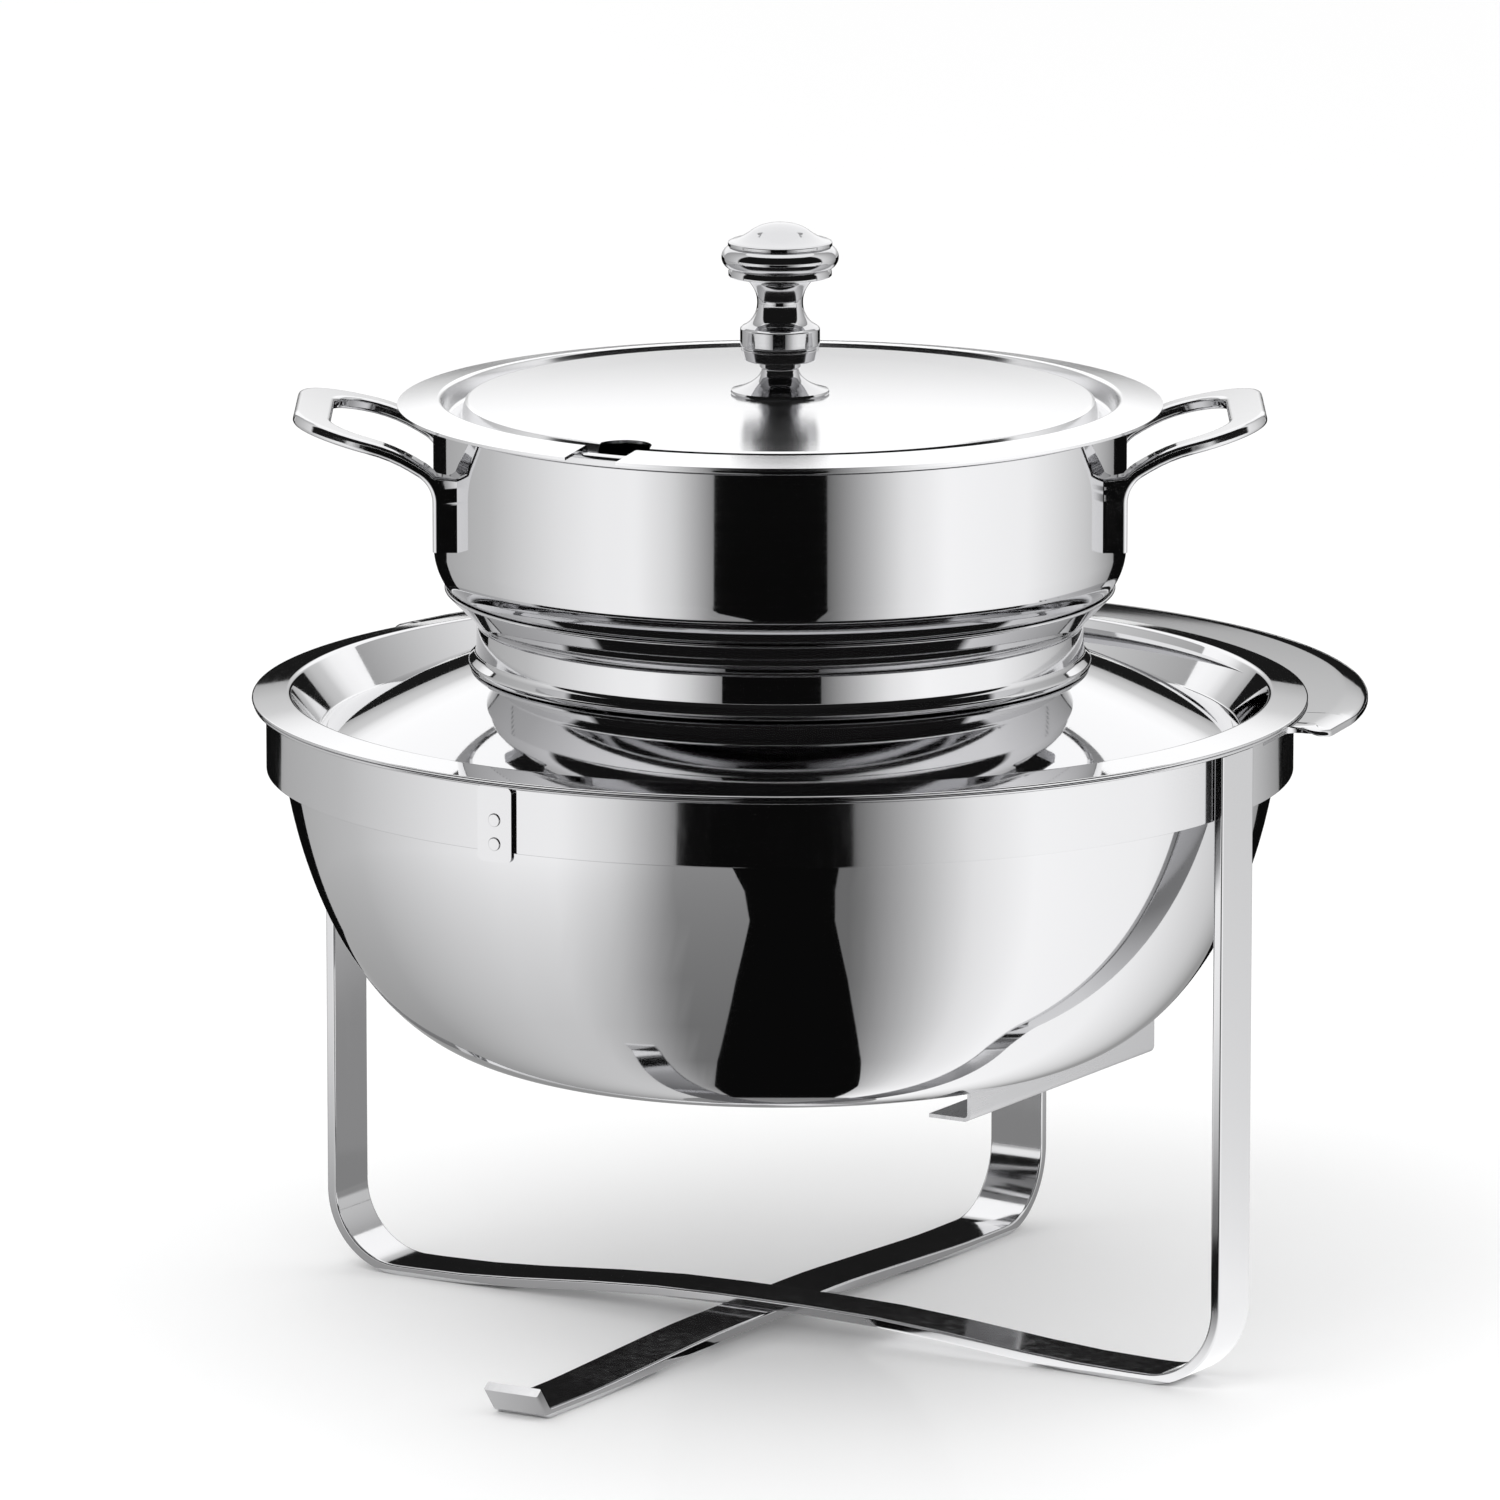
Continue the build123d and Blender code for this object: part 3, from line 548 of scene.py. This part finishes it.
def lid_mesh():
    """Lid plate as a grid that opens along the ladle slot."""
    vertices = []

    def grid(path):
        rows = []
        for r, z in path:
            row = []
            gap = slot_angle(r)
            for k in range(ROUND + 1):
                a = SLOT_TURN + gap + (2 * math.pi - 2 * gap) * k / ROUND
                row.append(len(vertices))
                vertices.append((r * math.cos(a), r * math.sin(a), z))
            rows.append(row)
        return rows

    # extra rows where the slot's round end starts keep its outline smooth
    fine = [SLOT_END - SLOT_HALF + e for e in (0.0, 0.05, 0.2, 0.5, 1.0, 1.8, 3.0, 4.5, 6.5)]
    disc_limit = DISC_START + 0.1
    inner_rows = [p for p in lid_line if p[0] < disc_limit and all(abs(p[0] - r) > 0.3 for r in fine)]
    inner_rows += [(r, LID_CROWN - SAG * (r / SPAN) ** 2) for r in fine]
    line = [p for p in lid_line if p[0] >= disc_limit] + sorted(inner_rows, key=lambda p: -p[0])
    back = [(p[0] + n.x * LID_SHEET, p[1] + n.y * LID_SHEET) for p, n in zip(line, normals(line))]
    line[-1] = (0.0, LID_CROWN)
    back[-1] = (0.0, LID_CROWN - LID_SHEET)
    top = grid(line)
    under = grid(back)
    faces = []
    for rows, flip in ((top, False), (under, True)):
        for a, b in zip(rows, rows[1:]):
            for k in range(ROUND):
                face = (a[k], a[k + 1], b[k + 1], b[k])
                faces.append(face[::-1] if flip else face)
    for k in range(ROUND):
        faces.append((top[0][k + 1], top[0][k], under[0][k], under[0][k + 1]))
    for i in range(min(len(top), len(under)) - 1):
        for k, order in ((0, 1), (ROUND, -1)):
            face = (top[i][k], top[i + 1][k], under[i + 1][k], under[i][k])
            faces.append(face[::order])
    return vertices, faces


vertices, faces = lid_mesh()
add_mesh("lid_skin", vertices, faces, "lid_set", "lid", lid_finish)

# --------------------------------------------------------------------------- knob
KNOB_LOW = LID_CROWN - 0.1


def smooth_curve(points, steps=10):
    """Catmull-Rom run through points."""
    run = []
    for k in range(len(points) - 1):
        p0 = Vector(points[max(0, k - 1)])
        p1, p2 = Vector(points[k]), Vector(points[k + 1])
        p3 = Vector(points[min(len(points) - 1, k + 2)])
        for i in range(steps):
            t = i / steps
            run.append(tuple(0.5 * (2 * p1 + (p2 - p0) * t + (2 * p0 - 5 * p1 + 4 * p2 - p3) * t * t
                                    + (3 * p1 - p0 - 3 * p2 + p3) * t**3)))
    run.append(tuple(points[-1]))
    return run


foot_flare = smooth_curve([(18.9, 372.0), (15.0, 373.2), (11.2, 375.0), (8.4, 377.4), (7.25, 379.6)])
foot = rounded(
    [(0.0, KNOB_LOW), (18.9, KNOB_LOW), (19.2, KNOB_LOW + 0.8), (18.9, 372.0)],
    [0.2, 0.4],
    step=3.0,
)
foot += foot_flare[1:]
foot += rounded(
    [(7.2, 380.4), (8.1, 381.0), (8.1, 383.0), (7.2, 383.6), (0.0, 383.6)],
    [0.4, 0.4, 0.3],
    step=3.0,
)


def knob_part(node, section):
    """Turn one piece of the knob."""
    lathe(node + "_skin", section, SMALL_ROUND, "lid_set", node, knob_finish, closed=False)


knob_part("knob_base", foot)

spacer = rounded([(0.0, 383.65), (14.1, 383.65), (15.2, 388.4), (0.0, 388.4)], [0.8, 0.5], step=3.0)
knob_part("knob_spacer", spacer)

head = rounded(
    [(0.0, 388.42), (14.7, 388.42), (14.7, 389.2), (15.45, 389.4), (15.45, 396.1), (14.7, 396.9)],
    [0.1, 0.1, 0.4, 0.6],
    step=2.0,
    turn=9.0,
)
head += smooth_curve([
    (14.7, 396.9), (12.4, 398.3), (10.6, 400.4), (9.3, 403.2), (8.9, 406.4), (9.3, 409.4), (10.6, 412.4),
    (12.8, 415.0), (15.8, 416.2), (19.6, 416.6),
])[1:]
BEAD_R, BEAD_Z, BEAD = 18.1, 424.0, 4.6
head += [(20.0, 417.0), (20.0, 418.6)]
bead_low = math.asin((419.6 - BEAD_Z) / BEAD)
bead_high = math.asin((428.3 - BEAD_Z) / BEAD)
for i in range(21):
    a = bead_low + (bead_high - bead_low) * i / 20
    head.append((BEAD_R + BEAD * math.cos(a), BEAD_Z + BEAD * math.sin(a)))
head += rounded([(19.8, 428.4), (20.2, 428.6), (20.2, 429.9), (19.3, 430.4)], [0.1, 0.4], step=1.0)
head += smooth_curve([(19.3, 430.4), (16.6, 431.2), (14.0, 432.4), (12.0, 433.7), (10.0, 435.1), (7.0, 436.4),
                      (3.5, 437.2), (0.0, 437.45)])[1:]
knob_part("knob_head", head)

# ------------------------------------------------------- CAD pieces that stay shown
for node, finish in (
    ("front_tab", bar_finish), ("tab_rivets", bar_finish), ("cross_rivet", plain),
    ("burner_rail_left", satin), ("burner_rail_right", satin),
    ("knob_washer", plain), ("knob_stud", plain),
):
    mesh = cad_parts[node].data
    mesh.materials.clear()
    mesh.materials.append(finish)

# ------------------------------------------------------------------ studio, camera
CAMERA_TURN = 31.0


def studio_point(azimuth, distance, height):
    """Point at an azimuth to the right of the camera line, seen from the dish."""
    a = math.radians(CAMERA_TURN + azimuth)
    return (distance * math.sin(a), -distance * math.cos(a) + AXIS_Y * MM, height)


def glow_material():
    """Glowing studio material whose brightness is painted on the panel's corners."""
    material = bpy.data.materials.new("studio_glow")
    material.use_nodes = True
    tree = material.node_tree
    tree.nodes.clear()
    out = tree.nodes.new("ShaderNodeOutputMaterial")
    glow = tree.nodes.new("ShaderNodeEmission")
    paint = tree.nodes.new("ShaderNodeAttribute")
    paint.attribute_name = "glow"
    tree.links.new(paint.outputs["Color"], glow.inputs["Color"])
    tree.links.new(glow.outputs[0], out.inputs[0])
    return material


STUDIO_GLOW = glow_material()


def stage_mesh(name, vertices, faces, brightness):
    """Studio surface that reflections see but the camera doesn't."""
    mesh = bpy.data.meshes.new(name)
    mesh.from_pydata(vertices, [], faces)
    paint = mesh.color_attributes.new("glow", "FLOAT_COLOR", "POINT")
    for k, level in enumerate(brightness):
        paint.data[k].color = (level, level, level, 1)
    mesh.materials.append(STUDIO_GLOW)
    piece = bpy.data.objects.new(name, mesh)
    bpy.context.scene.collection.objects.link(piece)
    piece.visible_camera = False
    piece.visible_shadow = False
    piece.visible_diffuse = False


def between(levels, place):
    """Value at a place on a short list of (place, value) pairs joined by straight lines."""
    for (p, u), (q, v) in zip(levels, levels[1:]):
        if min(p, q) <= place <= max(p, q):
            return u + (v - u) * (place - p) / (q - p)
    return levels[-1][1]


def wall(name, levels, distance, rows, step=2.0):
    """Curved panel round the dish: brightness by azimuth, scaled by (height, factor) rows."""
    start, end = levels[0][0], levels[-1][0]
    columns = max(1, round(abs(end - start) / step))
    vertices, brightness = [], []
    for i in range(columns + 1):
        azimuth = start + (end - start) * i / columns
        for height, factor in rows:
            vertices.append(studio_point(azimuth, distance, height))
            brightness.append(between(levels, azimuth) * factor)
    faces = []
    for i in range(columns):
        for k in range(len(rows) - 1):
            low = i * len(rows) + k
            faces.append((low, low + len(rows), low + len(rows) + 1, low + 1))
    stage_mesh(name, vertices, faces, brightness)


def floor_card(name, edges, height, level_at, columns):
    """Flat card just over the floor, between two azimuths given at some distances."""
    vertices, brightness = [], []
    for distance, start, end in edges:
        for i in range(columns + 1):
            azimuth = start + (end - start) * i / columns
            vertices.append(studio_point(azimuth, distance, height))
            brightness.append(level_at(distance, azimuth))
    faces = []
    for k in range(len(edges) - 1):
        for i in range(columns):
            low = k * (columns + 1) + i
            faces.append((low, low + columns + 1, low + columns + 2, low + 1))
    stage_mesh(name, vertices, faces, brightness)


# light by azimuth: soft edges at the dark front gap, brightest just beside it, grey behind
RIGHT_LIGHT = [
    (15, 0.2), (28, 0.65), (40, 1.1), (54, 1.33), (85, 1.25), (100, 1.05), (120, 0.77), (141, 0.35),
]
LEFT_LIGHT = [(-21, 0.35), (-34, 0.95), (-46, 1.25), (-60, 1.22), (-75, 1.08), (-107, 0.7), (-141, 0.5)]


def painted_table_level(distance, azimuth):
    """Brightness of the table in reflections, painted: as the panels, with painted shade that makes it dimmer
    under the dish's left.
    """
    # painted shade of the dish on the table, strongest close to it
    near_shade = 1 - min(1.0, max(0.0, (distance - 0.2) / 0.4))
    if azimuth <= 180:
        return between(RIGHT_LIGHT, max(azimuth, RIGHT_LIGHT[0][0]))
    return between(LEFT_LIGHT, min(azimuth - 360, LEFT_LIGHT[0][0])) * (1 - 0.38 * near_shade)


# low panels in front and tall ones at the sides; the back is dark low down and white above
WALL, REAR_WALL, PANEL_LOW, PANEL_HIGH = 1.25, 1.0, 0.205, 2.0
REAR_START, REAR_END = 141, 219
LOW_ROWS = [(0.0, 1.0), (PANEL_LOW, 1.0), (0.228, 0.01)]
TALL_ROWS = [(PANEL_LOW, 1.0), (PANEL_HIGH, 1.0)]
wall("panel_right", RIGHT_LIGHT, WALL, LOW_ROWS)
wall("panel_left", LEFT_LIGHT, WALL, LOW_ROWS)
wall("panel_right_tall", [(88, 0.02), (92, 1.15), (105, 1.0), (141, 0.45)], WALL, TALL_ROWS)
wall("panel_left_tall", [(-88, 0.02), (-92, 1.0), (-107, 0.8), (-141, 0.5)], WALL, TALL_ROWS)
wall("panel_rear", [(REAR_START, 1.0), (REAR_END, 1.0)], REAR_WALL, [
    (0.4, 0.5), (0.45, 0.7), (0.5, 0.8), (0.53, 1.05), (0.57, 1.25), (0.64, 1.36), (PANEL_HIGH, 1.38),
])

# the table in reflections: a dark gap in front that narrows half way in, and a dark back
CARD_NEAR, CARD_FAR = 0.05, 6.0
gap_edges = [                           # distance, left edge, right edge
    (CARD_NEAR, -30, 36), (0.1, -23, 28), (0.16, -16, 21), (0.22, -12, 17), (0.3, -9, 14), (0.42, -6, 11),
    (0.5, -7, 11), (0.6, -10, 12), (0.72, -15, 13), (0.85, -19, 14), (1.1, -21, 15), (CARD_FAR, -21, 15),
]
light_edges = [(distance, right, left + 360) for distance, left, right in gap_edges]
LIGHT_HEIGHT, GAP_HEIGHT, REAR_HEIGHT = 0.0018, 0.0022, 0.0024
# the second level is the painted shadow right under the dish, as reflections see it
DARK, UNDER_SHADOW = 0.004, 0.3
rear_edges = [(0.5, REAR_START, REAR_END), (CARD_FAR, REAR_START, REAR_END)]
floor_card("front_gap", gap_edges, GAP_HEIGHT, lambda distance, azimuth: DARK, 8)
floor_card("rear_dark", rear_edges, REAR_HEIGHT, lambda distance, azimuth: DARK, 16)
# glowing card painted with the lit table and the dish's painted shade, seen only in reflections
floor_card("floor_light", light_edges, LIGHT_HEIGHT, painted_table_level, 120)
# dim card under the dish: the dish's shadow on the table, painted, seen only in reflections
under_shadow_edges = [(0.001, 0, 360), (CARD_NEAR, 0, 360)]
floor_card("floor_under_shadow", under_shadow_edges, LIGHT_HEIGHT, lambda distance, azimuth: UNDER_SHADOW, 60)

TOP_STEPS, TOP_RADIUS, TOP_LEVEL = 48, 1.45, 1.36
TOP_SHIFT = -0.75                       # the overhead panel hangs towards the back
top = [studio_point(0, TOP_SHIFT, PANEL_HIGH)]
for i in range(TOP_STEPS):
    x, y, z = studio_point(360 * i / TOP_STEPS, TOP_RADIUS, PANEL_HIGH)
    top.append((x + top[0][0], y + top[0][1] - AXIS_Y * MM, z))
top_faces = [(0, (i + 1) % TOP_STEPS + 1, i + 1) for i in range(TOP_STEPS)]
stage_mesh("panel_top", top, top_faces, [TOP_LEVEL] * len(top))

floor_mesh = bpy.data.meshes.new("floor")
FLOOR_SIZE = 14.0
floor_corners = [
    (-FLOOR_SIZE, -FLOOR_SIZE, 0), (FLOOR_SIZE, -FLOOR_SIZE, 0), (FLOOR_SIZE, FLOOR_SIZE, 0),
    (-FLOOR_SIZE, FLOOR_SIZE, 0),
]
floor_mesh.from_pydata(floor_corners, [], [(0, 1, 2, 3)])
floor = bpy.data.objects.new("floor", floor_mesh)
bpy.context.scene.collection.objects.link(floor)
floor_finish = bpy.data.materials.new("floor_finish")
floor_finish.use_nodes = True
floor_shader = floor_finish.node_tree.nodes["Principled BSDF"]
floor_shader.inputs["Base Color"].default_value = (0.95, 0.95, 0.95, 1)
floor_shader.inputs["Roughness"].default_value = 0.6
floor_shader.inputs["Specular IOR Level"].default_value = 0.2
floor_mesh.materials.append(floor_finish)

world = bpy.data.worlds.new("studio")
bpy.context.scene.world = world
world.use_nodes = True
tree = world.node_tree
tree.nodes.clear()
out = tree.nodes.new("ShaderNodeOutputWorld")
white = tree.nodes.new("ShaderNodeBackground")
white.inputs["Color"].default_value = (1, 1, 1, 1)
white.inputs["Strength"].default_value = 1.12
dark = tree.nodes.new("ShaderNodeBackground")
dark.inputs["Color"].default_value = (0.012, 0.012, 0.012, 1)
mix = tree.nodes.new("ShaderNodeMixShader")
path = tree.nodes.new("ShaderNodeLightPath")
tree.links.new(path.outputs["Is Glossy Ray"], mix.inputs[0])
tree.links.new(white.outputs[0], mix.inputs[1])
tree.links.new(dark.outputs[0], mix.inputs[2])
tree.links.new(mix.outputs[0], out.inputs[0])

key = bpy.data.lights.new("key", "AREA")
key.shape = "DISK"
key.size = 1.6
key.energy = 10
key_object = bpy.data.objects.new("key", key)
key_object.visible_glossy = False
key_object.location = studio_point(-40, 1.2, 2.3)
aim = Vector((0, AXIS_Y * MM, 0.2)) - Vector(key_object.location)
key_object.rotation_euler = aim.to_track_quat("-Z", "Y").to_euler()
bpy.context.scene.collection.objects.link(key_object)

CAMERA_DISTANCE, CAMERA_HEIGHT, CAMERA_LENS = 4.8, 1.186, 301.4
camera_data = bpy.data.cameras.new("camera")
camera_data.sensor_width = 36.0
camera_data.lens = CAMERA_LENS
camera_data.clip_end = 60.0
camera = bpy.data.objects.new("camera", camera_data)
camera.location = studio_point(0, CAMERA_DISTANCE, CAMERA_HEIGHT)
PITCH, YAW = 11.27, 0.139
camera.rotation_euler = (math.radians(90 - PITCH), 0, math.radians(CAMERA_TURN + YAW))
bpy.context.scene.collection.objects.link(camera)
bpy.context.scene.camera = camera
bpy.context.scene.view_settings.view_transform = "Standard"
